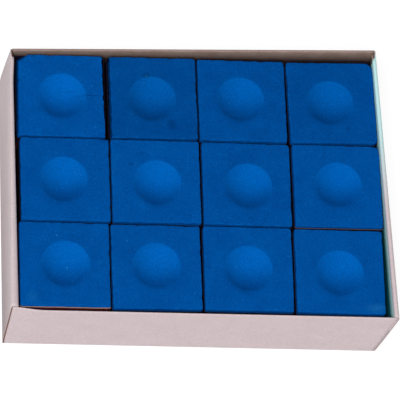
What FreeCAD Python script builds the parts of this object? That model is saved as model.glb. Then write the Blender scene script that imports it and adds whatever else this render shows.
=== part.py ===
"""A dozen billiard cue chalks in their paperboard tray.

Millimetres, +Z up, +X along the long side, +Y towards the back of the tray.
The origin is the middle of the tray's underside.
"""
import FreeCAD, Part
import math
import os
import PartDesign
import Sketcher

doc = FreeCAD.newDocument("chalk_tray")

# ---------------------------------------------------------------- driving sizes
SIZES = {
    # chalk block
    "cube_side": 22.2,
    "edge_radius": 0.45,
    "dimple_width": 11.8,
    "dimple_depth": 2.1,
    # printed paper wrapped round the four sides and folded under the block
    "paper": 0.12,
    "label_drop": 1.5,
    # how the blocks stand: room between neighbours, and the whole set off centre
    "block_gap": 0.2,
    "set_sideways": 0.6,
    "set_rearward": -0.07,
    # tray: board, and the room left at the ends, front and back of the set
    "board": 0.3,
    "fold_gap": 0.02,
    "panel_seam": 0.05,
    "end_room": 0.81,
    "face_room": 1.04,
    "rim_rise": 1.3,
    # the two rolled end walls: how far each roll stands open beyond its three boards
    "left_front_play": 0.98,
    "left_back_play": 0.05,
    "right_front_play": 0.35,
    "right_back_play": 0.02,
    # how far the rims have moved outward (+) or inward (-) from upright
    "left_front_lean": 0.15,
    "left_back_lean": -0.4,
    "right_front_lean": 1.8,
    "right_back_lean": -0.5,
    "front_left_lean": 0.46,
    "front_right_lean": 0.33,
    "back_left_lean": -0.97,
    "back_right_lean": 1.93,
    # the rolled leaf stops short of the front and back panels
    "leaf_stop_front": 0.5,
    "leaf_stop_back": 2.2,
    # flaps of the front and back panels, trapped inside the rolled walls
    "flap_reach": 13.0,
    "flap_drop": 1.6,
    "flap_foot": 1.0,
}

# How each block has settled off its even place: sideways and rearward in mm, turn in
# degrees, then how far its dimple was pressed off centre, sideways and rearward in mm.
SETTLED = {
    "back_1": (-0.5, -0.1, 0.3, 0.3, 0.0),
    "back_2": (0.0, 0.05, 0.5, -0.2, -0.2),
    "back_3": (-0.05, 0.0, 0.2, -0.4, 0.4),
    "back_4": (0.0, 0.2, 1.0, -0.4, 0.0),
    "middle_1": (0.2, 0.0, 0.3, -0.4, 0.0),
    "middle_2": (0.15, 0.05, 0.2, 0.3, -0.3),
    "middle_3": (0.25, -0.05, -0.2, 0.4, -0.4),
    "middle_4": (0.13, 0.1, 0.2, 0.2, 0.4),
    "front_1": (-0.3, 0.0, 0.0, 0.2, 0.2),
    "front_2": (-0.35, -0.1, 0.4, 0.0, 0.3),
    "front_3": (-0.15, 0.0, 0.0, 0.0, 0.1),
    "front_4": (-0.2, -0.15, -0.1, 0.0, -0.4),
}
SETTLED_NAMES = ("sideways", "rearward", "turn", "dimple_sideways", "dimple_rearward")
ROWS = {"back": 1, "middle": 0, "front": -1}
COLUMNS = 4


def make_sheet():
    """Write every driving size into the spreadsheet, one aliased cell each."""
    book = doc.addObject("Spreadsheet::Sheet", "sizes")
    rows = list(SIZES.items())
    for block, values in SETTLED.items():
        for name, value in zip(SETTLED_NAMES, values):
            rows.append((f"{block}_{name}", value))
    for number, (name, value) in enumerate(rows, start=1):
        book.set(f"A{number}", name)
        book.set(f"B{number}", str(value))
        book.setAlias(f"B{number}", name)
    doc.recompute()
    return book


sheet = make_sheet()


def size(name):
    """Name a cell of the sheet in an expression."""
    return f"<<sizes>>.{name}"


# ---------------------------------------------------------------- shared distances
BLOCK = f"({size('cube_side')} + 2 * {size('paper')})"
PITCH = f"({BLOCK} + {size('block_gap')})"
LAYER = f"({size('board')} + {size('fold_gap')})"
END_WALL = f"(3 * {LAYER})"
HALF_LENGTH = f"(1.5 * {PITCH} + {BLOCK} / 2 + {size('end_room')} + {END_WALL})"
HALF_WIDTH = f"({PITCH} + {BLOCK} / 2 + {size('face_room')} + {size('board')})"
HEIGHT = f"({size('board')} + {size('paper')} + {size('cube_side')} + {size('rim_rise')})"
FLAP_TOP = f"({HEIGHT} - {size('flap_drop')})"


def value_of(expression):
    """Work out an expression as a plain number, to draw a sketch near its solution."""
    result = sheet.evalExpression(expression)
    return float(getattr(result, "Value", result))


def origin_plane(body, role):
    """Find one of a body's own origin planes."""
    return next(item for item in body.Origin.OriginFeatures if item.Role == role)


def new_sketch(body, name, role, lift="0", tilt=None):
    """Start a sketch on a body's origin plane, moved along its normal by an expression.

    tilt is an angle by which the sketch leans about its own X axis.
    """
    sketch = body.newObject("Sketcher::SketchObject", name)
    sketch.AttachmentSupport = [(origin_plane(body, role), "")]
    sketch.MapMode = "FlatFace"
    if tilt:
        sketch.AttachmentOffset = FreeCAD.Placement(
            FreeCAD.Vector(0, 0, 0), FreeCAD.Rotation(FreeCAD.Vector(1, 0, 0), 1)
        )
        sketch.setExpression(".AttachmentOffset.Rotation.Angle", tilt)
    sketch.setExpression(".AttachmentOffset.Base.z", lift)
    return sketch


def pin(sketch, line, end, across, along):
    """Fix one end of a sketch line at a place given by two expressions."""
    for kind, expression in (("DistanceX", across), ("DistanceY", along)):
        index = sketch.addConstraint(
            Sketcher.Constraint(kind, -1, 1, line, end, value_of(expression))
        )
        sketch.setExpression(f"Constraints[{index}]", expression)


def draw_outline(sketch, corners):
    """Draw a closed outline of straight lines through corners given as expressions."""
    points = [FreeCAD.Vector(value_of(x), value_of(y), 0) for x, y in corners]
    count = len(points)
    for i in range(count):
        sketch.addGeometry(Part.LineSegment(points[i], points[(i + 1) % count]), False)
    for i in range(count):
        sketch.addConstraint(Sketcher.Constraint("Coincident", i, 2, (i + 1) % count, 1))
    for i, (x, y) in enumerate(corners):
        pin(sketch, i, 1, x, y)


def add_loft(body, name, first, second):
    """Add the straight-sided solid between two sketches."""
    loft = body.newObject("PartDesign::AdditiveLoft", name)
    loft.Profile = first
    loft.Sections = [second]
    loft.Ruled = True
    # merging faces after each step loses the solid when the leaves are thicker
    loft.Refine = False
    return loft


def add_sheet_panel(body, name, foot, head, low, high):
    """Add a panel of board from its four foot corners to its four head corners."""
    lower = new_sketch(body, f"{name}_foot", "XY_Plane", low)
    draw_outline(lower, foot)
    upper = new_sketch(body, f"{name}_head", "XY_Plane", high)
    draw_outline(upper, head)
    return add_loft(body, name, lower, upper)


# ---------------------------------------------------------------- tray
def roll_section(body, name, side, lean, breadth, station, tilt):
    """Draw one end wall's section: outer leaf, rolled top and inner leaf.

    side is -1 for the left wall and 1 for the right one; station is how far in front
    of the middle the section stands, and tilt leans it with the panel across it.
    """
    sketch = new_sketch(body, name, "XZ_Plane", station, tilt)
    board = size("board")
    sign = str(side)
    centre_height = f"({HEIGHT} - {breadth} / 2)"
    outer_foot = f"{sign} * {HALF_LENGTH}"
    outer_top = f"{sign} * ({HALF_LENGTH} + {lean})"
    inner_top = f"{sign} * ({HALF_LENGTH} + {lean} - {breadth})"
    inner_foot = f"{sign} * ({HALF_LENGTH} - {END_WALL})"
    chain = [
        (outer_foot, "0 * " + board),
        (outer_top, centre_height),
        (inner_top, centre_height),
        (inner_foot, board),
        (f"{inner_foot} + {sign} * {board}", board),
        (f"{inner_top} + {sign} * {board}", centre_height),
        (f"{outer_top} - {sign} * {board}", centre_height),
        (f"{outer_foot} - {sign} * {board}", "0 * " + board),
    ]
    points = [FreeCAD.Vector(value_of(x), value_of(y), 0) for x, y in chain]
    middle = (points[1] + points[2]) * 0.5
    up = FreeCAD.Vector(0, 0, 1)

    def half_ring(one, other):
        circle = Part.Circle(middle, up, (one - other).Length / 2)
        return Part.ArcOfCircle(circle, 0, math.pi)

    pieces = [
        Part.LineSegment(points[0], points[1]),
        half_ring(points[1], points[2]),
        Part.LineSegment(points[2], points[3]),
        Part.LineSegment(points[3], points[4]),
        Part.LineSegment(points[4], points[5]),
        half_ring(points[5], points[6]),
        Part.LineSegment(points[6], points[7]),
        Part.LineSegment(points[7], points[0]),
    ]
    for piece in pieces:
        sketch.addGeometry(piece, False)
    # a half ring starts at its right-hand end, so the left wall's outer one runs backwards
    rings = {1: (2, 1) if side < 0 else (1, 2), 5: (1, 2) if side < 0 else (2, 1)}

    def end_of(index, which):
        return rings[index][which - 1] if index in rings else which

    count = len(pieces)
    for i in range(count):
        after = (i + 1) % count
        sketch.addConstraint(
            Sketcher.Constraint("Coincident", i, end_of(i, 2), after, end_of(after, 1))
        )
    starts = {0: 0, 2: 2, 3: 3, 4: 4, 6: 6, 7: 7}
    for line, corner in starts.items():
        pin(sketch, line, 1, *chain[corner])
    pin(sketch, 0, 2, *chain[1])
    pin(sketch, 4, 2, *chain[5])
    for ring in rings:
        index = sketch.addConstraint(
            Sketcher.Constraint("DistanceY", -1, 1, ring, 3, value_of(centre_height))
        )
        sketch.setExpression(f"Constraints[{index}]", centre_height)
    return sketch


def roll_breadth(name, place):
    """Breadth of a rolled rim at one end: its three boards and the play between them."""
    return f"(3 * {size('board')} + {size(f'{name}_{place}_play')})"


def add_end_wall(body, name, side):
    """Add one rolled end wall, from the front edge of the base to the back edge."""
    sections = []
    for place, toward in (("front", 1), ("back", -1)):
        lean = size(f"{name}_{place}_lean")
        breadth = roll_breadth(name, place)
        station = f"{toward} * {HALF_WIDTH}"
        tilt = f"{toward} * atan({size(f'{place}_{name}_lean')} / {HEIGHT})"
        title = f"{name}_wall_{place}"
        sections.append(roll_section(body, title, side, lean, breadth, station, tilt))
    return add_loft(body, f"{name}_wall", *sections)


def trim_leaf(body, name, side, place, toward):
    """Cut the rolled leaf back at one end, so that it clears the panel across it."""
    stop = size(f"leaf_stop_{place}")
    board = size("board")
    lean = size(f"{name}_{place}_lean")
    panel_lean = size(f"{place}_{name}_lean")
    outer = f"({HALF_LENGTH} - {board} - {size('fold_gap')} / 2)"
    foot_inner = f"({HALF_LENGTH} - 2 * {END_WALL})"
    head_inner = f"({HALF_LENGTH} + {lean} - 2 * {roll_breadth(name, place)})"

    def slot_outline(far, near, moved):
        beyond = f"{toward} * ({HALF_WIDTH} + {moved} + {board})"
        inside = f"{toward} * ({HALF_WIDTH} + {moved} - {stop})"
        return [
            (f"{side} * {far}", beyond),
            (f"{side} * {near}", beyond),
            (f"{side} * {near}", inside),
            (f"{side} * {far}", inside),
        ]

    title = f"{name}_{place}_stop"
    lower = new_sketch(body, f"{title}_foot", "XY_Plane", board)
    draw_outline(lower, slot_outline(outer, foot_inner, f"0 * {board}"))
    upper = new_sketch(body, f"{title}_head", "XY_Plane", f"{HEIGHT} + {board}")
    draw_outline(upper, slot_outline(f"({outer} + {lean})", head_inner, panel_lean))
    cut = body.newObject("PartDesign::SubtractiveLoft", title)
    cut.Profile = lower
    cut.Sections = [upper]
    cut.Ruled = True
    return cut


def add_face_panel(body, name, toward):
    """Add the front (-1) or back (1) panel, single board between the end walls."""
    board = size("board")
    outer = f"{toward} * {HALF_WIDTH}"
    inner = f"{toward} * ({HALF_WIDTH} - {board})"
    inset = f"({board} + {size('panel_seam')})"
    foot_end = f"({HALF_LENGTH} - {inset})"
    foot = [
        (f"{toward} * {foot_end}", outer),
        (f"-1 * {toward} * {foot_end}", outer),
        (f"-1 * {toward} * {foot_end}", inner),
        (f"{toward} * {foot_end}", inner),
    ]
    ends = {
        "left": f"-({HALF_LENGTH} + {size(f'left_{name}_lean')} - {inset})",
        "right": f"({HALF_LENGTH} + {size(f'right_{name}_lean')} - {inset})",
    }
    out = {
        side: f"{toward} * ({HALF_WIDTH} + {size(f'{name}_{side}_lean')})" for side in ends
    }
    back = {
        side: f"{toward} * ({HALF_WIDTH} + {size(f'{name}_{side}_lean')} - {board})"
        for side in ends
    }
    first, last = ("left", "right") if toward < 0 else ("right", "left")
    head = [
        (ends[first], out[first]),
        (ends[last], out[last]),
        (ends[last], back[last]),
        (ends[first], back[first]),
    ]
    return add_sheet_panel(body, f"{name}_panel", foot, head, "0 * " + board, HEIGHT)


def add_flap(body, name, side, panel, toward):
    """Add the flap that turns in from a panel and is trapped inside an end wall."""
    board = size("board")
    front_lean = size(f"{name}_front_lean")
    back_lean = size(f"{name}_back_lean")
    reach = size("flap_reach")
    near_lean, far_lean = (front_lean, back_lean) if toward < 0 else (back_lean, front_lean)
    share = f"({reach} / (2 * {HALF_WIDTH}))"
    top_share = f"({FLAP_TOP} / {HEIGHT})"
    tip_lean = f"({near_lean} + ({far_lean} - {near_lean}) * {share})"
    root = f"{toward} * ({HALF_WIDTH} - {board} / 2)"
    tip = f"{toward} * ({HALF_WIDTH} - {reach})"
    outer = f"({HALF_LENGTH} - {LAYER})"
    inner = f"({HALF_LENGTH} - {LAYER} - {board})"

    def leaning(lean, distance):
        return f"{side} * ({distance} + {lean} * {top_share})"

    foot = [
        (f"{side} * {outer}", root),
        (f"{side} * {inner}", root),
        (f"{side} * {inner}", tip),
        (f"{side} * {outer}", tip),
    ]
    panel_lean = f"{toward} * {size(f'{panel}_{name}_lean')} * {top_share}"
    head = [
        (leaning(near_lean, outer), f"{root} + {panel_lean}"),
        (leaning(near_lean, inner), f"{root} + {panel_lean}"),
        (leaning(tip_lean, inner), tip),
        (leaning(tip_lean, outer), tip),
    ]
    low = f"{board} + {size('flap_foot')}"
    return add_sheet_panel(body, f"{panel}_{name}_flap", foot, head, low, FLAP_TOP)


def build_tray():
    """Fold up the tray: base, two rolled end walls, two panels and their four flaps."""
    body = doc.addObject("PartDesign::Body", "tray")
    body.Label = "tray"
    floor = new_sketch(body, "floor_outline", "XY_Plane")
    # the floor ends inside the thickness of the walls that fold up from it
    end = f"({HALF_LENGTH} - {size('board')} / 2)"
    edge = f"({HALF_WIDTH} - {size('board')} / 2)"
    draw_outline(
        floor,
        [(f"-{end}", f"-{edge}"), (end, f"-{edge}"), (end, edge), (f"-{end}", edge)],
    )
    base = body.newObject("PartDesign::Pad", "floor")
    base.Profile = floor
    base.setExpression("Length", size("board"))
    for name, side in (("left", -1), ("right", 1)):
        add_end_wall(body, name, side)
        for place, toward in (("front", -1), ("back", 1)):
            trim_leaf(body, name, side, place, toward)
    for name, toward in (("front", -1), ("back", 1)):
        add_face_panel(body, name, toward)
        for wall, side in (("left", -1), ("right", 1)):
            add_flap(body, wall, side, name, toward)
    return body


# ---------------------------------------------------------------- chalk and label
def square_pad(body, name, side, height):
    """Start a body with a square block, centred on its own origin."""
    outline = new_sketch(body, f"{name}_outline", "XY_Plane")
    half = f"({side} / 2)"
    draw_outline(
        outline,
        [(f"-{half}", f"-{half}"), (half, f"-{half}"), (half, half), (f"-{half}", half)],
    )
    block = body.newObject("PartDesign::Pad", name)
    block.Profile = outline
    block.setExpression("Length", height)
    doc.recompute()
    return block


def edges_where(feature, test):
    """List a feature's edges whose middle point passes a test."""
    names = []
    for number, edge in enumerate(feature.Shape.Edges, start=1):
        if test(edge.CenterOfMass):
            names.append(f"Edge{number}")
    return names


def put_in_place(body, block):
    """Stand a body on the tray's floor where its block has settled."""
    row, column = block.split("_")
    step_x = f"{int(column) - (COLUMNS + 1) / 2} * {PITCH}"
    step_y = f"{ROWS[row]} * {PITCH}"
    across = f"{step_x} + {size('set_sideways')} + {size(f'{block}_sideways')}"
    along = f"{step_y} + {size('set_rearward')} + {size(f'{block}_rearward')}"
    body.Placement = FreeCAD.Placement(
        FreeCAD.Vector(0, 0, 0), FreeCAD.Rotation(FreeCAD.Vector(0, 0, 1), 1)
    )
    body.setExpression(".Placement.Base.x", across)
    body.setExpression(".Placement.Base.y", along)
    body.setExpression(".Placement.Base.z", f"{size('board')} + {size('paper')}")
    body.setExpression(".Placement.Rotation.Angle", f"{size(f'{block}_turn')} * 1 deg")


def build_chalk(block):
    """Press one block of chalk: a softened cube with a shallow round dimple on top."""
    body = doc.addObject("PartDesign::Body", f"chalk_{block}")
    body.Label = f"chalk_{block}"
    side = size("cube_side")
    cube = square_pad(body, "cube", side, side)
    rounding = body.newObject("PartDesign::Fillet", "soft_edges")
    rounding.Base = (cube, edges_where(cube, lambda middle: True))
    rounding.setExpression("Radius", size("edge_radius"))
    depth = size("dimple_depth")
    ball = f"(({size('dimple_width')} / 2) ^ 2 + {depth} ^ 2) / (2 * {depth})"
    dimple = body.newObject("PartDesign::SubtractiveSphere", "dimple")
    dimple.AttachmentSupport = [(origin_plane(body, "XY_Plane"), "")]
    dimple.MapMode = "FlatFace"
    dimple.setExpression("Radius", ball)
    dimple.setExpression(".AttachmentOffset.Base.x", size(f"{block}_dimple_sideways"))
    dimple.setExpression(".AttachmentOffset.Base.y", size(f"{block}_dimple_rearward"))
    dimple.setExpression(".AttachmentOffset.Base.z", f"{side} + {ball} - {depth}")
    put_in_place(body, block)
    return body


def build_label(block):
    """Wrap one block in paper: four sides and a folded bottom, open at the top."""
    body = doc.addObject("PartDesign::Body", f"label_{block}")
    body.Label = f"label_{block}"
    height = f"({size('cube_side')} - {size('label_drop')})"
    form = square_pad(body, "form", size("cube_side"), height)
    top = value_of(height)
    rounding = body.newObject("PartDesign::Fillet", "soft_edges")
    rounding.Base = (form, edges_where(form, lambda middle: middle.z < top - 0.01))
    rounding.setExpression("Radius", size("edge_radius"))
    doc.recompute()
    faces = rounding.Shape.Faces
    highest = max(range(len(faces)), key=lambda i: faces[i].CenterOfMass.z)
    wrap = body.newObject("PartDesign::Thickness", "paper_wrap")
    wrap.Base = (rounding, [f"Face{highest + 1}"])
    wrap.Reversed = False
    wrap.setExpression("Value", size("paper"))
    put_in_place(body, block)
    return body


# ---------------------------------------------------------------- build and write
def check_and_write(bodies):
    """Refuse any failed object or bad shape, then write one STEP file per piece."""
    for item in doc.Objects:
        if "Invalid" in item.State or "Error" in item.State:
            raise RuntimeError(f"{item.Name} failed: {item.State}")
    for body in bodies:
        shape = body.Shape
        if shape.isNull() or not shape.isValid() or len(shape.Solids) != 1:
            raise RuntimeError(f"{body.Label} has a bad shape")
    os.makedirs("parts", exist_ok=True)
    for body in bodies:
        body.Shape.exportStep(f"parts/{body.Label}.step")
        box = body.Shape.BoundBox
        print(
            body.Label,
            f"{body.Shape.Volume:.1f} mm3",
            f"x {box.XMin:.2f} {box.XMax:.2f}",
            f"y {box.YMin:.2f} {box.YMax:.2f}",
            f"z {box.ZMin:.2f} {box.ZMax:.2f}",
        )


pieces = [build_tray()]
for block_name in SETTLED:
    pieces.append(build_chalk(block_name))
    pieces.append(build_label(block_name))
doc.recompute()
check_and_write(pieces)
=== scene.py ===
import math

import bmesh
import bpy
from mathutils import Matrix, Vector, noise


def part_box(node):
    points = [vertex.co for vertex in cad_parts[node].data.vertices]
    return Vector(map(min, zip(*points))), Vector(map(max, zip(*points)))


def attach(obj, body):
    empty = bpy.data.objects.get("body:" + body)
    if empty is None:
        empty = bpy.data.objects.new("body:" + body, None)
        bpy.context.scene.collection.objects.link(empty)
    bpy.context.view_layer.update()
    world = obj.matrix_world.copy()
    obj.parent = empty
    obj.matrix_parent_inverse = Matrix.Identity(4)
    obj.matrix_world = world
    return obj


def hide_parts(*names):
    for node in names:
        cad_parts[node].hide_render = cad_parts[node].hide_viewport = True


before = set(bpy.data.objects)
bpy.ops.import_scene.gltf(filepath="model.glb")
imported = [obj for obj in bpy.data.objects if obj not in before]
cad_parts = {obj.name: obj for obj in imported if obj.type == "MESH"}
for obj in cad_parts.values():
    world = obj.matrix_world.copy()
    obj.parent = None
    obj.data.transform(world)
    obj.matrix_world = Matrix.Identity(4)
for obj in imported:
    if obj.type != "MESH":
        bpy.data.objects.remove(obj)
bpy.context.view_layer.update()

# ---------------------------------------------------------------- board tray
# The tray is one die-cut blank of white-lined chipboard, creased and folded up. The
# front and back are single board with flaps at their ends, and each end wall is
# rolled over those flaps and tucked down inside, which locks the corners.
MM = 0.001
BOARD = 0.30  # every size here is in mm
HALF_LENGTH = 46.95
HALF_WIDTH = 35.2
HEIGHT = 23.92
CREASE = 0.35
# the gap left between the end walls and the flaps behind them
SEAM = 0.05
# the rolled leaf's foot: how far in from the wall's foot, and how far above the floor
LEAF_FOOT, LEAF_CLEAR = 0.96, 0.05
# the flaps: how far they reach along the end walls, between what heights, and how much
# of that height they lose towards their ends
FLAP_REACH = 13.0
FLAP_LOW, FLAP_HIGH = 1.3, 22.3
FLAP_TAPER = 0.1
# the front and back rims: the last line of their sheet below the rim, and the rim itself
PANEL_LAST, PANEL_TOP = 0.8, 0.03
# by corner: how far each rim leans outward from upright, how broad the roll is, and how
# far the end wall bulges halfway up
WALL_LEAN = {("left", "front"): 0.14, ("left", "back"): -0.40,
             ("right", "front"): 1.80, ("right", "back"): -0.50}
PANEL_LEAN = {("front", "left"): 0.45, ("front", "right"): 0.32,
              ("back", "left"): -0.97, ("back", "right"): 1.92}
ROLL = {("left", "front"): 1.88, ("left", "back"): 0.72,
        ("right", "front"): 1.25, ("right", "back"): 0.92}
BULGE = {("left", "front"): 0.07, ("left", "back"): 0.08,
         ("right", "front"): 0.10, ("right", "back"): 0.10}
# how far short of the front and back panels the rolled leaf stops
LEAF_STOP = {"front": 0.36, "back": 2.2}
# how far the folded corners pull in the front panel's left end and the left wall's back
# end at the top, and over what length
PANEL_PINCH, WALL_PINCH = 0.75, 0.3
PINCH_REACH = 8.0
# where the top of the roll stands between its two sides: 1 is halfway, more is further out
RIDGE = {"left": 1.9, "right": 1.0}
SIDES = {"left": -1, "right": 1}
PLACES = {"front": -1, "back": 1}
# how brown the cut board edge shows on each wall: 0 is the pale lining, 1 the bare pulp
RAW = {"left": 1.0, "right": 0.4, "front": 0.0, "back": 0.75}


def linear(code):
    """Turn an sRGB hex colour into the linear colour that a shader takes."""
    parts = [int(code[i:i + 2], 16) / 255 for i in (1, 3, 5)]
    levels = [p / 12.92 if p <= 0.04045 else ((p + 0.055) / 1.055) ** 2.4 for p in parts]
    return (*levels, 1)


def add(tree, kind, settings=None, links=None):
    """Add a node with its settings and links; a whole number names a socket by its place."""
    made = tree.nodes.new(kind)
    for key, value in (settings or {}).items():
        if isinstance(key, int) or key not in made.bl_rna.properties:
            made.inputs[key].default_value = value
        else:
            setattr(made, key, value)
    for key, source in (links or {}).items():
        tree.links.new(source, made.inputs[key])
    return made


def between(a, b, share):
    """The value that lies a share of the way from a to b."""
    return a + (b - a) * share


def steps(a, b, count):
    """Even steps from a to b, both ends included."""
    return [between(a, b, i / count) for i in range(count + 1)]


def ease(low, high, value):
    """Rise smoothly from 0 at low to 1 at high."""
    share = min(1.0, max(0.0, (value - low) / (high - low)))
    return share * share * (3 - 2 * share)


def wall_face(side, y, z):
    """Where the outer face of an end wall stands, at that y and z."""
    share = (y + HALF_WIDTH) / (2 * HALF_WIDTH)
    lean = between(WALL_LEAN[side, "front"], WALL_LEAN[side, "back"], share)
    bulge = between(BULGE[side, "front"], BULGE[side, "back"], share)
    rise = min(1.0, z / HEIGHT)
    pinch = WALL_PINCH * ease(HALF_WIDTH - PINCH_REACH, HALF_WIDTH, y) if side == "left" else 0.0
    return HALF_LENGTH + (lean - pinch * rise) * rise + bulge * math.sin(math.pi * rise ** 0.7)


def panel_face(place, x, z):
    """Where the outer face of the front or back panel stands, at that x and z."""
    share = (x + HALF_LENGTH) / (2 * HALF_LENGTH)
    lean = between(PANEL_LEAN[place, "left"], PANEL_LEAN[place, "right"], share)
    pinch = 0.0
    if place == "front":
        pinch = PANEL_PINCH * ease(PINCH_REACH, 0.0, x + HALF_LENGTH)
    return HALF_WIDTH + lean * z / HEIGHT - pinch * (z / HEIGHT) ** 2


def lay_sheet(bm, rows, rules):
    """Join rows of points into a sheet; each rule gives one mark from a point and its row."""
    layers = bm.verts.layers.float
    grid = []
    for i, row in enumerate(rows):
        line = []
        for point in row:
            vert = bm.verts.new(Vector(point) * MM)
            for layer, rule in rules.items():
                vert[layers[layer]] = rule(point, i)
            line.append(vert)
        grid.append(line)
    for low, high in zip(grid, grid[1:]):
        for corners in zip(low, low[1:], high[1:], high):
            bm.faces.new(corners)


def face_outwards(bm):
    """Make an open shell's faces agree, with the lowest one looking down."""
    bmesh.ops.recalc_face_normals(bm, faces=bm.faces)
    lowest = min(bm.faces, key=lambda face: face.calc_center_median().z)
    if lowest.normal.z > 0:
        bmesh.ops.reverse_faces(bm, faces=bm.faces)


def made_mesh(bm, name):
    """Turn a finished bmesh into a mesh of that name."""
    mesh = bpy.data.meshes.new(name)
    bm.to_mesh(mesh)
    bm.free()
    return mesh


def placed(mesh):
    """Put a mesh in the scene as an object of the same name."""
    made = bpy.data.objects.new(mesh.name, mesh)
    bpy.context.scene.collection.objects.link(made)
    return made


crease_turn = steps(0.0, math.pi / 2, 5)
along = steps(-1.0, 1.0, 100)
across = steps(-1.0, 1.0, 72)
blank = bmesh.new()
# how deep a point lies in the rolled leaf (with its chalk dust, painted bounce light and
# painted shade) or on a panel, how much painted shade darkens the wall towards its foot,
# how much painted highlight lightens it towards the top fold, and how brown the cut edge is there
for name in ("leaf_dust_and_shade", "panel_depth", "foot_shade", "top_highlight", "raw_edge"):
    blank.verts.layers.float.new(name)

flat_x, flat_y = HALF_LENGTH - CREASE, HALF_WIDTH - CREASE
lay_sheet(blank, [[(u * flat_x, v * flat_y, 0.0) for u in along] for v in across],
          {"panel_depth": lambda point, i: HEIGHT})

for side, sx in SIDES.items():
    rows, depths = [], []

    def wall_row(place_at, depth, stop_share):
        """One line of the wall from front to back; place_at(v) gives its x and z."""
        ends = []
        for place, sy in PLACES.items():
            x, z = place_at(sy)
            reach = HALF_WIDTH - CREASE * (1 - z / CREASE)
            if z > CREASE:
                reach = panel_face(place, sx * x, z)
            ends.append(sy * (reach - LEAF_STOP[place] * stop_share))
        row = []
        for v in across:
            x, z = place_at(v)
            row.append((sx * x, between(*ends, (v + 1) / 2), z))
        rows.append(row)
        depths.append(depth)

    def roll_breadth(v):
        return between(ROLL[side, "front"], ROLL[side, "back"], (v + 1) / 2)

    def painted_foot_shade(point, i):
        """Painted shade: the end wall's outer face darkens towards its foot, most of all near the
        front.
        """
        if depths[i] > 0:
            return 0.0
        return (1 - point[2] / HEIGHT) * ease(HALF_WIDTH * 1.8, -HALF_WIDTH, point[1])

    def painted_top_highlight(point, i):
        """Painted highlight: the end wall's outer face lightens towards the fold along its top."""
        return 0.0 if depths[i] > 0 else ease(HEIGHT * 0.6, HEIGHT - PANEL_LAST, point[2])

    for turn in crease_turn:
        bend = HALF_LENGTH - CREASE * (1 - math.sin(turn)), CREASE * (1 - math.cos(turn))
        wall_row(lambda v: bend, 0.0, 0.0)

    for share in steps(0.0, 1.0, 20)[1:]:
        def outer_face(v):
            z = between(CREASE, HEIGHT - roll_breadth(v) / 2, share)
            return wall_face(side, v * HALF_WIDTH, z), z
        wall_row(outer_face, 0.0, 0.0)

    for turn in steps(0.0, math.pi, 14)[1:]:
        def rolled_top(v):
            radius = roll_breadth(v) / 2
            across_roll = ((1 - math.cos(turn)) / 2) ** RIDGE[side]
            x = wall_face(side, v * HALF_WIDTH, HEIGHT) - 2 * radius * across_roll
            return x, HEIGHT - radius * (1 - math.sin(turn))
        wall_row(rolled_top, 0.0, ease(0.1, 1.5, turn))

    for share in steps(0.0, 1.0, 18)[1:]:
        def inner_leaf(v):
            top = wall_face(side, v * HALF_WIDTH, HEIGHT) - roll_breadth(v)
            z = between(HEIGHT - roll_breadth(v) / 2, BOARD + LEAF_CLEAR, share)
            return between(top, HALF_LENGTH - LEAF_FOOT, share), z
        wall_row(inner_leaf, share * (HEIGHT - 1), 1.0)

    def dust_and_painted_shade(point, i):
        """Chalk dust and painted blue bounce light down the leaf, turning deeper to painted shade;
        the same pale mix on the right wall's rim, growing towards the back.
        """
        on_rim = side == "right" and point[2] > HEIGHT - 0.6
        return max(depths[i], 0.6 * ease(-12, 22, point[1]) if on_rim else 0.0)

    lay_sheet(blank, rows, {"leaf_dust_and_shade": dust_and_painted_shade, "foot_shade": painted_foot_shade, "top_highlight": painted_top_highlight,
                            "raw_edge": lambda point, i: RAW[side]})

# the panels' lines go up by way of the flaps' lower and upper corners
heights = [CREASE] + steps(FLAP_LOW, FLAP_HIGH, 16) + [HEIGHT - PANEL_LAST, HEIGHT - PANEL_TOP]
for place, sy in PLACES.items():
    def panel_end(side, z):
        """Where the panel turns into its flap, just inside the end wall."""
        share = min(1.0, z / CREASE)
        upright = wall_face(side, sy * HALF_WIDTH, z) - BOARD - SEAM
        return between(flat_x, upright, share)

    def panel_row(z, depth_y):
        """One level line of the panel; depth_y(x) gives how far out it stands."""
        ends = -panel_end("left", z), panel_end("right", z)
        places = [between(*ends, (u + 1) / 2) for u in along]
        return [(x, sy * depth_y(x), z) for x in places]

    panel_rules = {"panel_depth": lambda point, i: HEIGHT - point[2],
                   "raw_edge": lambda point, i: RAW[place]}
    rows = []
    for turn in crease_turn[:-1]:
        rows.append(panel_row(CREASE * (1 - math.cos(turn)),
                              lambda x: HALF_WIDTH - CREASE * (1 - math.sin(turn))))
    for z in heights:
        rows.append(panel_row(z, lambda x: panel_face(place, x, z)))
    lay_sheet(blank, rows, panel_rules)
    for side, sx in SIDES.items():
        rows = []
        for z in heights[1:-2]:
            row = []
            for reach in (0.0, 0.5, 1.5, 4.0, 7.0, 10.0, FLAP_REACH):
                y = panel_face(place, sx * panel_end(side, z), z) - reach
                taper = 1 - FLAP_TAPER * ease(1.5, FLAP_REACH, reach)
                level = between((FLAP_LOW + FLAP_HIGH) / 2, z, taper)
                x = wall_face(side, sy * y, level) - BOARD - SEAM
                row.append((sx * x, sy * y, level))
            rows.append(row)
        lay_sheet(blank, rows, panel_rules)

SAME_POINT = 0.004
bmesh.ops.remove_doubles(blank, verts=blank.verts, dist=SAME_POINT * MM)
face_outwards(blank)
tray = placed(made_mesh(blank, "board_tray"))
thick = tray.modifiers.new("board", "SOLIDIFY")
thick.thickness = BOARD * MM
thick.offset = -1.0
thick.use_even_offset = True
thick.material_offset = 1
thick.material_offset_rim = 2


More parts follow.
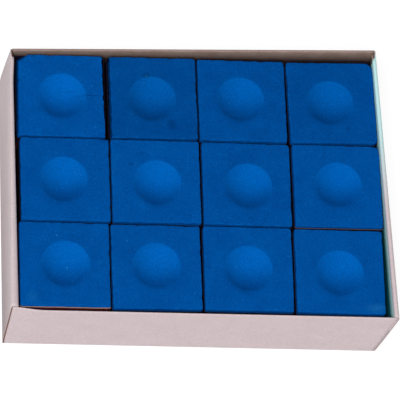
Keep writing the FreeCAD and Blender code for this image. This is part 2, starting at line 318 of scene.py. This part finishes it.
def new_material(name):
    """A material with an empty node tree, and its surface shader linked to the output."""
    made = bpy.data.materials.new(name)
    made.use_nodes = True
    tree = made.node_tree
    tree.nodes.clear()
    shader = add(tree, "ShaderNodeBsdfPrincipled")
    add(tree, "ShaderNodeOutputMaterial", links={"Surface": shader.outputs["BSDF"]})
    return made, tree, shader


def noise_at(tree, spot, size, detail=3.0, roughness=0.55):
    """Noise whose features are size mm across."""
    settings = {"Scale": 1 / (size * MM), "Detail": detail, "Roughness": roughness}
    return add(tree, "ShaderNodeTexNoise", settings, {"Vector": spot}).outputs["Fac"]


def remap(tree, value, low, high, to_low=0.0, to_high=1.0):
    """Stretch a value from one range to another."""
    settings = {"From Min": low, "From Max": high, "To Min": to_low, "To Max": to_high}
    return add(tree, "ShaderNodeMapRange", settings, {"Value": value}).outputs["Result"]


def blend(tree, share, first, second):
    """Mix two colours, each a hex code or a socket, by a share."""
    settings, links = {"data_type": "RGBA"}, {0: share}
    for place, colour in ((6, first), (7, second)):
        if isinstance(colour, str):
            settings[place] = linear(colour)
        else:
            links[place] = colour
    return add(tree, "ShaderNodeMix", settings, links).outputs[2]


def times(tree, colour, factor):
    """Make a colour lighter or darker by a factor."""
    links = {0: colour, "Scale": factor}
    return add(tree, "ShaderNodeVectorMath", {"operation": "SCALE"}, links).outputs[0]


def product(tree, first, second):
    """Multiply two values."""
    settings = {"operation": "MULTIPLY"}
    return add(tree, "ShaderNodeMath", settings, {0: first, 1: second}).outputs[0]


def mark(tree, name):
    """Read one of the mesh's own marks."""
    return add(tree, "ShaderNodeAttribute", {"attribute_name": name}).outputs["Fac"]


def finish_surface(tree, shader, colour, grain, roughness, relief, gloss):
    """Colour a surface and let its grain vary the roughness, from low to high, and the bump,
    given as its strength and its depth in mm; gloss is the same all over."""
    tree.links.new(colour, shader.inputs["Base Color"])
    tree.links.new(remap(tree, grain, 0.0, 1.0, *roughness), shader.inputs["Roughness"])
    settings = {"Strength": relief[0], "Distance": relief[1] * MM}
    bump = add(tree, "ShaderNodeBump", settings, {"Height": grain})
    tree.links.new(bump.outputs["Normal"], shader.inputs["Normal"])
    shader.inputs["Specular IOR Level"].default_value = gloss


# clay-coated chipboard, calendered: off-white with faint pulp clouds and a dull sheen,
# with painted shade towards the end walls' foot and painted highlight towards their top
# fold, and down inside the rolled leaf chalk dust with painted blue bounce light and painted
# shade. Its fibres, 0.03 mm wide, are too fine to show, so they are drawn as tufts of 0.45 mm
coated, tree, shader = new_material("clay_coated_chipboard")
spot = add(tree, "ShaderNodeTexCoord").outputs["Object"]
colour = blend(tree, remap(tree, noise_at(tree, spot, 6, 4.0, 0.6), 0.3, 0.7), "#C5B4B7", "#CCBBBE")
fibre = noise_at(tree, spot, 0.45)
colour = times(tree, colour, remap(tree, fibre, 0.3, 0.7, 0.9, 1.1))
# painted highlight, lightening the end walls towards the fold along their top
colour = blend(tree, remap(tree, mark(tree, "top_highlight"), 0.0, 1.0, 0.0, 0.15), colour, "#EFE3E6")
# painted shade, darkening the end walls towards their foot
colour = blend(tree, remap(tree, mark(tree, "foot_shade"), 0.0, 1.0, 0.0, 0.58), colour, "#5E464B")
# chalk dust and painted blue bounce light from the chalk, high on the leaf
dust_and_shade = remap(tree, mark(tree, "leaf_dust_and_shade"), 0.0, 0.8)
colour = blend(tree, dust_and_shade, colour, "#C0F6F6")
# painted shade, teal, deep in the gap down the leaf
dust_and_shade = remap(tree, mark(tree, "leaf_dust_and_shade"), 0.9, 3.4)
colour = blend(tree, dust_and_shade, colour, "#086270")
finish_surface(tree, shader, colour, fibre, (0.5, 0.64), (0.15, 0.03), 0.2)

# the unlined reverse of the board: pulped waste paper, brown-grey, with painted shade
# further down and strewn with blue powder at the foot; its fibres are drawn coarse too
reverse, tree, shader = new_material("unlined_chipboard_reverse")
spot = add(tree, "ShaderNodeTexCoord").outputs["Object"]
clouds = remap(tree, noise_at(tree, spot, 3, 5.0, 0.65), 0.3, 0.7)
colour = blend(tree, clouds, "#9C8376", "#B09A90")
fibre = noise_at(tree, spot, 0.3)
colour = times(tree, colour, remap(tree, fibre, 0.3, 0.7, 0.9, 1.1))
down = mark(tree, "panel_depth")
# painted shade, deepening down the panel into the gap behind the blocks
colour = blend(tree, remap(tree, down, 0.8, 5.2), colour, "#3A2B2C")
powder = remap(tree, noise_at(tree, spot, 5, 6.0, 0.7), 0.42, 0.62)
strewn = product(tree, powder, remap(tree, down, 4.0, 20.0))
colour = blend(tree, strewn, colour, "#12508F")
finish_surface(tree, shader, colour, fibre, (0.8, 0.95), (0.3, 0.05), 0.08)

# the guillotined edge of the board: brown pulp where it is bare, pale where the lining
# was drawn over it by the knife. The torn fibre ends are drawn coarse, as 0.8 mm patches
edge, tree, shader = new_material("guillotined_board_edge")
spot = add(tree, "ShaderNodeTexCoord").outputs["Object"]
plies = noise_at(tree, spot, 0.8)
bare = blend(tree, plies, "#5E3F33", "#8A6A5B")
lined = blend(tree, plies, "#C2B0B4", "#DDCDD0")
colour = blend(tree, mark(tree, "raw_edge"), lined, bare)
finish_surface(tree, shader, colour, plies, (0.8, 0.92), (0.3, 0.05), 0.08)

for finish in (coated, reverse, edge):
    tray.data.materials.append(finish)


def settled(obj):
    """Turn what an object's modifiers make into its plain mesh."""
    graph = bpy.context.evaluated_depsgraph_get()
    plain = bpy.data.meshes.new_from_object(obj.evaluated_get(graph))
    obj.modifiers.clear()
    obj.data = plain


settled(tray)
tray.data.shade_smooth()
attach(tray, "tray")
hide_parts("tray")

# ---------------------------------------------------------------- chalk blocks
# Each block is dyed silica and abrasive powder, pressed to a cube in a steel mould and
# left bare on top, where a shallow dimple takes the cue tip. Edges rub and crumble.
SIDE = 22.2
DIMPLE_WIDTH = 11.8
DIMPLE_DEPTH = 2.1
WORN_EDGE = 0.28
# points along each side of a block
SPOKES = 44
# the dimple's rings, as shares of its radius; the last ones lie outside its rim
DIMPLE_RINGS = (0.07, 0.16, 0.26, 0.36, 0.46, 0.56, 0.66, 0.75, 0.83, 0.9, 0.95, 0.985,
                1.02, 1.06, 1.12, 1.2)
# broken faces: how rough they are, and how fine that roughness is, per metre
BREAK_ROUGH, BREAK_FINE = 0.25, 900
# by block: its turn in degrees, the dimple's place off centre, how round each corner
# has worn in mm from the back left one clockwise, and how light its colour is
BLOCKS = {
    "back_1": (0.3, (0.3, 0.0), (0.8, 0.5, 0.3, 0.4), 1.06),
    "back_2": (0.5, (-0.2, -0.2), (1.0, 0.4, 0.4, 0.4), 0.86),
    "back_3": (0.2, (-0.4, 0.4), (0.4, 0.7, 0.4, 0.4), 0.95),
    "back_4": (1.0, (-0.4, 0.0), (0.6, 2.0, 1.2, 0.6), 0.92),
    "middle_1": (0.3, (-0.4, 0.0), (0.8, 0.4, 0.4, 0.4), 1.00),
    "middle_2": (0.2, (0.3, -0.3), (0.4, 0.5, 0.4, 0.4), 1.02),
    "middle_3": (-0.2, (0.4, -0.4), (0.5, 0.9, 0.6, 0.4), 0.98),
    "middle_4": (0.2, (0.2, 0.4), (0.5, 1.3, 0.7, 0.4), 1.00),
    "front_1": (0.0, (0.2, 0.2), (0.4, 0.6, 0.4, 0.5), 1.00),
    "front_2": (0.4, (0.0, 0.3), (0.6, 0.5, 0.4, 0.4), 1.00),
    "front_3": (0.0, (0.0, 0.1), (0.4, 0.7, 0.4, 0.4), 1.00),
    "front_4": (-0.1, (0.0, -0.4), (0.5, 0.6, 0.6, 0.5), 1.00),
}
# broken-off places: a point on the block from the middle of its top, and which way the
# broken face looks; everything beyond that face has gone
BREAKS = {
    "back_1": [((-8.2, 10.6, 0.0), (-0.55, 0.72, 0.5)),
               ((-10.65, 0.0, 0.0), (-1.0, 0.02, 0.05)),
               ((10.7, 0.0, 0.0), (1.0, 0.02, 0.04))],
    "back_2": [((-10.65, 0.0, 0.0), (-1.0, 0.0, 0.04))],
    "back_4": [((10.6, 10.6, -0.3), (0.5, 0.5, 0.7))],
    "front_4": [((10.8, -10.7, 0.0), (0.4, -0.5, 0.75))],
}


def square_ring(half, corners, count):
    """Points round a square with rounded corners, back left corner first, clockwise."""
    ends = [(-1, 1), (1, 1), (1, -1), (-1, -1)]
    points = []
    for i in range(4):
        start, end = ends[i], ends[(i + 1) % 4]
        for k in range(count):
            share = k / count
            x, y = (between(start[a], end[a], share) * half for a in (0, 1))
            near = i if share < 0.5 else (i + 1) % 4
            sx, sy = ends[near]
            radius = corners[near]
            over_x, over_y = sx * x - (half - radius), sy * y - (half - radius)
            if over_x > 0 and over_y > 0:
                stretch = radius / math.hypot(over_x, over_y)
                x = sx * (half - radius + over_x * stretch)
                y = sy * (half - radius + over_y * stretch)
            points.append((x, y))
    return points


def chalk_mesh(name, dimple, corners, breaks):
    """A dimpled block, its top face at z = 0 and its middle on the z axis."""
    bm = bmesh.new()
    dimple_smooth_and_lit = bm.verts.layers.float.new("dimple_smooth_and_lit")
    worn = bm.verts.layers.float.new("edge_wear")
    half, rim = SIDE / 2, DIMPLE_WIDTH / 2
    ball = (rim ** 2 + DIMPLE_DEPTH ** 2) / (2 * DIMPLE_DEPTH)
    rings = []

    def add_ring(points, z, lit_share=0.0, wear=0.0):
        """Add a ring of points at a height, with its share of the dimple's lighter tone and painted
        highlight, and of wear.
        """
        ring = []
        for x, y in points:
            vert = bm.verts.new((x * MM, y * MM, z * MM))
            # painted shade: the dimple's lighter tone and highlight fade out towards its near side,
            # which faces away from the light
            vert[dimple_smooth_and_lit] = lit_share * (1 - ease(-0.45, 0.95, (dimple[1] - y) / rim))
            vert[worn] = wear
            ring.append(vert)
        rings.append(ring)

    def face_ring(inset):
        """The block's outline, that far in from its sides."""
        left = [max(0.08, r - inset) for r in corners]
        return square_ring(half - inset, left, SPOKES)

    flat = face_ring(WORN_EDGE)
    heading = [math.atan2(y - dimple[1], x - dimple[0]) for x, y in flat]

    def round_ring(radius):
        """A circle round the dimple, with its points in line with the outline's."""
        x, y = dimple
        return [(x + radius * math.cos(a), y + radius * math.sin(a)) for a in heading]

    def hollow(x, y):
        """Depth of the dimple at a place; its rim is worn softer on the near side."""
        away = math.hypot(x - dimple[0], y - dimple[1])
        soft = 0.16 + 0.26 * ease(-0.4, 1.0, (dimple[1] - y) / rim)
        deep = math.sqrt(ball ** 2 - away ** 2) - (ball - DIMPLE_DEPTH)
        return (deep + math.hypot(deep, soft)) / 2 * ease(rim + 1.8, rim, away)

    def edge_ring(turn, face, way):
        """One line of a rounded edge, its turn going from the face to the side."""
        z = face - way * WORN_EDGE * (1 - math.cos(turn))
        add_ring(face_ring(WORN_EDGE * (1 - math.sin(turn))), z, 0.0, 1.0)

    for share in DIMPLE_RINGS:
        add_ring(round_ring(rim * share), 0.0, ease(1.04, 0.97, share))
        for vert in rings[-1]:
            vert.co.z = -hollow(vert.co.x / MM, vert.co.y / MM) * MM
    start = round_ring(rim * DIMPLE_RINGS[-1])
    for share in steps(0.0, 1.0, 14)[1:-1]:
        mixed = [[between(*pair, share) for pair in zip(a, b)] for a, b in zip(start, flat)]
        add_ring(mixed, 0.0, 0.0, ease(0.9, 1.0, share) * 0.5)
    for turn in steps(0.0, math.pi / 2, 5):
        edge_ring(turn, 0.0, 1)
    for share in steps(0.0, 1.0, 22)[1:-1]:
        z = between(-WORN_EDGE, -(SIDE - WORN_EDGE), share)
        add_ring(face_ring(0.0), z, 0.0, 1 - ease(0.0, 0.12, share))
    for turn in steps(math.pi / 2, 0.0, 4):
        edge_ring(turn, -SIDE, -1)
    for share in (0.8, 0.6, 0.4, 0.2, 0.06):
        add_ring([(x * share, y * share) for x, y in flat], -SIDE)
    for low, high in zip(rings, rings[1:]):
        for k in range(len(low)):
            after = (k + 1) % len(low)
            bm.faces.new((low[k], high[k], high[after], low[after]))
    for ring, z, lit_share in ((rings[0], -DIMPLE_DEPTH, 1.0), (rings[-1], -SIDE, 0.0)):
        x, y = dimple if lit_share else (0.0, 0.0)
        pole = bm.verts.new((x * MM, y * MM, z * MM))
        pole[dimple_smooth_and_lit] = lit_share
        for k in range(len(ring)):
            bm.faces.new((pole, ring[k], ring[(k + 1) % len(ring)]))
    for point, way in breaks:
        for vert in bm.verts:
            facing = Vector(way).normalized()
            rough = BREAK_ROUGH * noise.noise(vert.co * BREAK_FINE)
            beyond = (vert.co / MM - Vector(point)).dot(facing) + rough
            in_upper_half = vert.co.z > -0.5 * SIDE * MM
            if beyond > 0 and in_upper_half:
                vert.co -= facing * beyond * MM
                vert[dimple_smooth_and_lit], vert[worn] = 0.0, 0.6
    bmesh.ops.recalc_face_normals(bm, faces=bm.faces)
    return made_mesh(bm, name)


# marks on the top faces, in mm: middle across and along, half length, half breadth,
# and how strong; the dark ones are painted shade in dents, and rubbed scuffs, the pale ones loose
# grit
DARK_MARKS = [(-12.2, 28.8, 0.9, 0.8, 0.5), (-6.3, 15.9, 1.4, 1.2, 0.35),
              (-5.9, 14.9, 1.3, 1.1, 0.35), (-16.8, 4.5, 0.6, 0.5, 0.4),
              (33.4, 32.8, 0.5, 0.5, 0.2), (38.7, 15.8, 0.6, 0.5, 0.25),
              (-26.6, 22.75, 3.6, 0.14, 0.45), (-31.5, 24.2, 2.2, 0.12, 0.3)]
PALE_MARKS = [(-12.2, 28.6, 0.4, 0.5, 0.15), (-35.5, -15.1, 0.28, 0.25, 0.35),
              (-32.9, -22.8, 0.28, 0.25, 0.45), (-18.2, -16.1, 0.28, 0.25, 0.25),
              (8.9, -21.6, 0.28, 0.25, 0.3), (-41.8, -31.4, 1.6, 1.8, 0.07),
              (43.4, -32.3, 3.0, 1.4, 0.14)]


def marked(tree, spot, marks):
    """How strongly a place is covered by any one of a list of oval marks."""
    total = None
    for x, y, length, breadth, strength in marks:
        place = (x * MM, y * MM, 0.0)
        ratio = (1 / (length * MM), 1 / (breadth * MM), 0.0)
        here = spot
        for settings in ({"operation": "SUBTRACT", 1: place}, {"operation": "MULTIPLY", 1: ratio},
                         {"operation": "LENGTH"}):
            made = add(tree, "ShaderNodeVectorMath", settings, {0: here})
            here = made.outputs["Value" if settings["operation"] == "LENGTH" else "Vector"]
        here = remap(tree, here, 0.3, 1.2, strength, 0.0)
        if total is not None:
            settings, links = {"operation": "MAXIMUM"}, {0: here, 1: total}
            here = add(tree, "ShaderNodeMath", settings, links).outputs[0]
        total = here
    return total


# pressed cue chalk: deep blue, fully matt, mottled where powder has rubbed off, lighter
# in the dimple, which the mould's punch leaves smoother, with painted highlight on the
# dimple's far side fading to painted shade on its near side, and dusty on the worn edges.
# Its 0.05 mm grains are too fine to show, so grain and loose grit are drawn 0.3 and 0.45 mm
chalk, tree, shader = new_material("pressed_silica_chalk")
spot = add(tree, "ShaderNodeTexCoord").outputs["Object"]
colour = blend(tree, remap(tree, noise_at(tree, spot, 5, 5.0, 0.6), 0.3, 0.7), "#004791", "#004F9C")
# the dimple's smoother, lighter tone, with painted highlight on its far side
colour = blend(tree, mark(tree, "dimple_smooth_and_lit"), colour, "#005AAC")
grain = noise_at(tree, spot, 0.3, 3.0, 0.6)
colour = times(tree, colour, remap(tree, grain, 0.3, 0.7, 0.78, 1.22))
grit = remap(tree, noise_at(tree, spot, 0.45, 1.0), 0.68, 0.76, 0.0, 0.3)
colour = blend(tree, grit, colour, "#2B7CBE")
colour = times(tree, colour, mark(tree, "tone"))
# painted shade in dents, and rubbed scuffs
colour = blend(tree, marked(tree, spot, DARK_MARKS), colour, "#001A4A")
colour = blend(tree, marked(tree, spot, PALE_MARKS), colour, "#2F93C8")
rubbed = remap(tree, noise_at(tree, spot, 1.2, 4.0, 0.7), 0.5, 0.7, 0.0, 0.35)
colour = blend(tree, product(tree, rubbed, mark(tree, "edge_wear")), colour, "#0A63A8")
finish_surface(tree, shader, colour, grain, (0.9, 1.0), (0.4, 0.06), 0.01)

# how uneven handling leaves a block, and over what distance
UNEVENNESS, UNEVEN_SIZE = 0.07, 6.0
# how deep and how wide the chips along its edges are
CHIP_DEPTH, CHIP_SIZE = 0.25, 2.2
# how far apart two blocks' wear is in the noise that gives it
SEED_STEP = 3.7

# handling wear, as one tree for every block: a slow unevenness all over, and small
# chips along the edges, both only ever taking powder away
wear = bpy.data.node_groups.new("handled_chalk", "GeometryNodeTree")
wear.is_modifier = True
for name, kind in (("Block", "Geometry"), ("Seed", "Float"), ("Unevenness", "Float"),
                   ("Chip Depth", "Float"), ("Chip Size", "Float"), ("Finish", "Material")):
    wear.interface.new_socket(name, in_out="INPUT", socket_type="NodeSocket" + kind)
wear.interface.new_socket("Block", in_out="OUTPUT", socket_type="NodeSocketGeometry")
given = add(wear, "NodeGroupInput").outputs
spot = add(wear, "GeometryNodeInputPosition").outputs[0]
facing = add(wear, "GeometryNodeInputNormal").outputs[0]
slow = add(wear, "ShaderNodeTexNoise",
           {"noise_dimensions": "4D", "Scale": 1 / (UNEVEN_SIZE * MM), "Detail": 3.0},
           {"Vector": spot, "W": given["Seed"]})
uneven = product(wear, slow.outputs["Fac"], given["Unevenness"])
rate = add(wear, "ShaderNodeMath", {"operation": "DIVIDE", 0: 1.0}, {1: given["Chip Size"]})
small = add(wear, "ShaderNodeTexNoise", {"noise_dimensions": "4D", "Detail": 2.0},
            {"Vector": spot, "W": given["Seed"], "Scale": rate.outputs[0]})
chips = remap(wear, small.outputs["Fac"], 0.5, 0.75)
edges = add(wear, "GeometryNodeInputNamedAttribute", {"data_type": "FLOAT", "Name": "edge_wear"})
deep = product(wear, product(wear, chips, edges.outputs["Attribute"]), given["Chip Depth"])
total = add(wear, "ShaderNodeMath", {"operation": "ADD"}, {0: uneven, 1: deep})
inward = add(wear, "ShaderNodeMath", {"operation": "MULTIPLY", 1: -1.0}, {0: total.outputs[0]})
shift = add(wear, "ShaderNodeVectorMath", {"operation": "SCALE"},
            {0: facing, "Scale": inward.outputs[0]})
moved = add(wear, "GeometryNodeSetPosition",
            links={"Geometry": given["Block"], "Offset": shift.outputs[0]})
real = add(wear, "GeometryNodeRealizeInstances", links={"Geometry": moved.outputs[0]})
finished = add(wear, "GeometryNodeSetMaterial",
               links={"Geometry": real.outputs[0], "Material": given["Finish"]})
add(wear, "NodeGroupOutput", links={"Block": finished.outputs[0]})

# how far the tops of some blocks lean towards the right wall
LEANING = {"middle_4": 0.4, "front_4": 0.25, "back_4": 0.1}


def block_place(name):
    """The block's turn, lean and place: the middle of its top, from the CAD solid's box."""
    low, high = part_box("chalk_" + name)
    middle = (low + high) / 2
    turn = Matrix.Rotation(math.radians(BLOCKS[name][0]), 4, "Z")
    lean = Matrix.Identity(4)
    lean[0][2] = LEANING.get(name, 0.0) / SIDE
    lean[0][3] = LEANING.get(name, 0.0) * MM
    return Matrix.Translation((middle.x, middle.y, high.z)) @ lean @ turn


for number, (name, (_, dimple, corners, lightness)) in enumerate(BLOCKS.items()):
    mesh = chalk_mesh("cue_chalk_" + name, dimple, corners, BREAKS.get(name, []))
    tone = mesh.attributes.new("tone", "FLOAT", "POINT")
    tone.data.foreach_set("value", [lightness] * len(mesh.vertices))
    mesh.transform(block_place(name))
    block = placed(mesh)
    wearing = block.modifiers.new("wear", "NODES")
    wearing.node_group = wear
    values = {"Seed": SEED_STEP * number, "Unevenness": UNEVENNESS * MM, "Finish": chalk,
              "Chip Depth": CHIP_DEPTH * MM, "Chip Size": CHIP_SIZE * MM}
    for item in wear.interface.items_tree:
        if item.in_out == "INPUT" and item.name in values:
            wearing[item.identifier] = values[item.name]
    settled(block)
    block.data.shade_smooth()
    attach(block, "cube_" + name)
    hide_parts("chalk_" + name)

# ---------------------------------------------------------------- paper labels
# A printed paper label is glued round the four sides of each block and folded under
# it. It stops short of the top; where it was cut askew, its bare edge shows.
PAPER = 0.12
LABEL_DROP = 1.5
# how far the cut upper edge wanders up and down, and how differently on each block
CUT_WAVE, WAVE_STEP = 0.12, 5.1
# by block: how much higher the label comes on its front side
ASKEW = {"front_1": 1.3, "middle_4": 0.6}

# the label paper: dark maroon print, rubbed through to the pale paper at the corners
# and bare along the cut upper edge, and darkened high up with navy painted shade of the
# narrow gaps; its fibres are drawn coarse, as 0.25 mm tufts
label, tree, shader = new_material("printed_label_paper")
spot = add(tree, "ShaderNodeTexCoord").outputs["Object"]
colour = blend(tree, remap(tree, noise_at(tree, spot, 2, 4.0), 0.3, 0.7), "#54181A", "#6A2422")
fibre = noise_at(tree, spot, 0.25)
colour = times(tree, colour, remap(tree, fibre, 0.3, 0.7, 0.88, 1.12))
smear = remap(tree, noise_at(tree, spot, 4, 5.0, 0.7), 0.52, 0.7, 0.0, 0.5)
colour = blend(tree, smear, colour, "#0B2A58")
# painted shade of the narrow gaps between blocks, navy like the gaps
colour = blend(tree, mark(tree, "gap_shade"), colour, "#040D22")
colour = blend(tree, mark(tree, "bare_edge"), colour, "#A98C83")
finish_surface(tree, shader, colour, fibre, (0.5, 0.7), (0.2, 0.02), 0.15)

for number, name in enumerate(BLOCKS):
    bm = bmesh.new()
    bare_layer = bm.verts.layers.float.new("bare_edge")
    gap_shade_layer = bm.verts.layers.float.new("gap_shade")
    rings = []
    reach = SIDE / 2 + PAPER
    top, bottom = -LABEL_DROP, -SIDE - PAPER
    # from the cut edge down the side, round the lower fold and in under the block
    plan = [(reach, top), (reach, top - 0.12), (reach, top - 0.25)]
    plan += [(reach, z) for z in steps(top - 0.25, bottom + 0.4, 12)[1:]]
    plan += [(reach - 0.12, bottom + 0.12), (reach - 0.4, bottom)]
    plan += [(reach * share, bottom) for share in (0.7, 0.4, 0.1)]
    for half, z in plan:
        ring = []
        for x, y in square_ring(half, [min(0.5, half / 2)] * 4, 24):
            share = (z - bottom) / (top - bottom)
            at_front = ease(-reach + 0.6, -reach + 0.05, y)
            near_top = share ** 8
            slope = between(0.85, 1.0, x / SIDE + 0.5)
            raised = ASKEW.get(name, 0.0) * at_front * near_top * slope
            wave = CUT_WAVE * noise.noise((x * 0.3, y * 0.3, number * WAVE_STEP)) * near_top
            vert = bm.verts.new((x * MM, y * MM, (z + raised + wave) * MM))
            corner = ease(reach - 0.7, reach - 0.2, min(abs(x), abs(y)))
            rub = 0.5 * corner * (0.5 + noise.noise((z * 0.9, x, y)))
            vert[bare_layer] = rub * ease(top - 2, top - 5, z)
            # navy painted shade of the narrow gaps darkens each label's upper part; the front row's
            # left label, raised on its front, is left out of it there
            open_front = at_front if name == "front_1" else 0.0
            vert[gap_shade_layer] = 0.95 * ease(top - 9, top - 1, z) * (1.0 - open_front)
            if z > top - 0.2 and at_front > 0.5:
                vert[bare_layer] = ASKEW.get(name, 0.0) ** 2 / 1.7
            ring.append(vert)
        rings.append(ring)
    for first, second in zip(rings, rings[1:]):
        for k in range(len(first)):
            after = (k + 1) % len(first)
            bm.faces.new((first[k], first[after], second[after], second[k]))
    bm.faces.new(rings[-1])
    face_outwards(bm)
    mesh = made_mesh(bm, "label_wrap_" + name)
    mesh.transform(block_place(name))
    mesh.materials.append(label)
    wrap = placed(mesh)
    thick = wrap.modifiers.new("paper", "SOLIDIFY")
    thick.thickness = PAPER * MM
    thick.offset = -1.0
    settled(wrap)
    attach(wrap, "cube_" + name)
    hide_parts("label_" + name)

# ---------------------------------------------------------------- floor, light, camera
# A plain white table top of opal acrylic, lit from within so that no hard shadow falls on
# it, one square softbox from the front left, and an even fill from all round.
floor_mesh = bpy.data.meshes.new("floor")
floor_mesh.from_pydata([(-3, -3, 0), (3, -3, 0), (3, 3, 0), (-3, 3, 0)], [], [(0, 1, 2, 3)])
floor = placed(floor_mesh)
# opal acrylic, sanded matt: an even white glow that the tray's shadow only just greys
pale, tree, shader = new_material("lit_opal_table_top")
shader.inputs["Base Color"].default_value = (0.18, 0.18, 0.18, 1)
shader.inputs["Roughness"].default_value = 0.9
shader.inputs["Specular IOR Level"].default_value = 0.1
shader.inputs["Emission Color"].default_value = (1, 1, 1, 1)
shader.inputs["Emission Strength"].default_value = 0.89
floor_mesh.materials.append(pale)

LIGHT_WAY = Vector((-0.24, -0.43, 0.87)).normalized()
LIGHT_DISTANCE = 1.2
lamp = bpy.data.lights.new("softbox", "AREA")
lamp.shape = "SQUARE"
lamp.size = 0.45
# the power that gives a white card facing the softbox its full brightness
lamp.energy = math.pi ** 2 * LIGHT_DISTANCE ** 2
softbox = bpy.data.objects.new("softbox", lamp)
softbox.location = LIGHT_WAY * LIGHT_DISTANCE
softbox.rotation_mode = "QUATERNION"
softbox.rotation_quaternion = LIGHT_WAY.to_track_quat("Z", "Y")
bpy.context.scene.collection.objects.link(softbox)

world = bpy.data.worlds.new("studio")
world.use_nodes = True
tree = world.node_tree
tree.nodes.clear()
# the camera sees plain white past the table; the object gets only the faint fill
path = add(tree, "ShaderNodeLightPath")
fill = add(tree, "ShaderNodeBackground", {"Color": (1, 1, 1, 1), "Strength": 0.15})
seen = add(tree, "ShaderNodeBackground", {"Color": (1, 1, 1, 1), "Strength": 1.0})
both = add(tree, "ShaderNodeMixShader",
           links={0: path.outputs["Is Camera Ray"], 1: fill.outputs[0], 2: seen.outputs[0]})
add(tree, "ShaderNodeOutputWorld", links={"Surface": both.outputs[0]})
bpy.context.scene.world = world
bpy.context.scene.view_settings.view_transform = "Standard"

# a long lens, about a metre off, looks down on the tray from the front and a little left
lens = bpy.data.cameras.new("camera")
lens.lens = 334.9
lens.sensor_width = 36.0
lens.clip_start = 0.05
lens.clip_end = 20.0
camera = bpy.data.objects.new("camera", lens)
right = Vector((0.9885, -0.0329, 0.1479)).normalized()
ahead = Vector((0.1491, 0.3850, -0.9108)).normalized()
up = right.cross(ahead).normalized()
stand = Matrix((right, up, -ahead)).transposed().to_4x4()
stand.translation = Vector((-136.9, -358.92, 860.5)) * MM
camera.matrix_world = stand
bpy.context.scene.collection.objects.link(camera)
bpy.context.scene.camera = camera
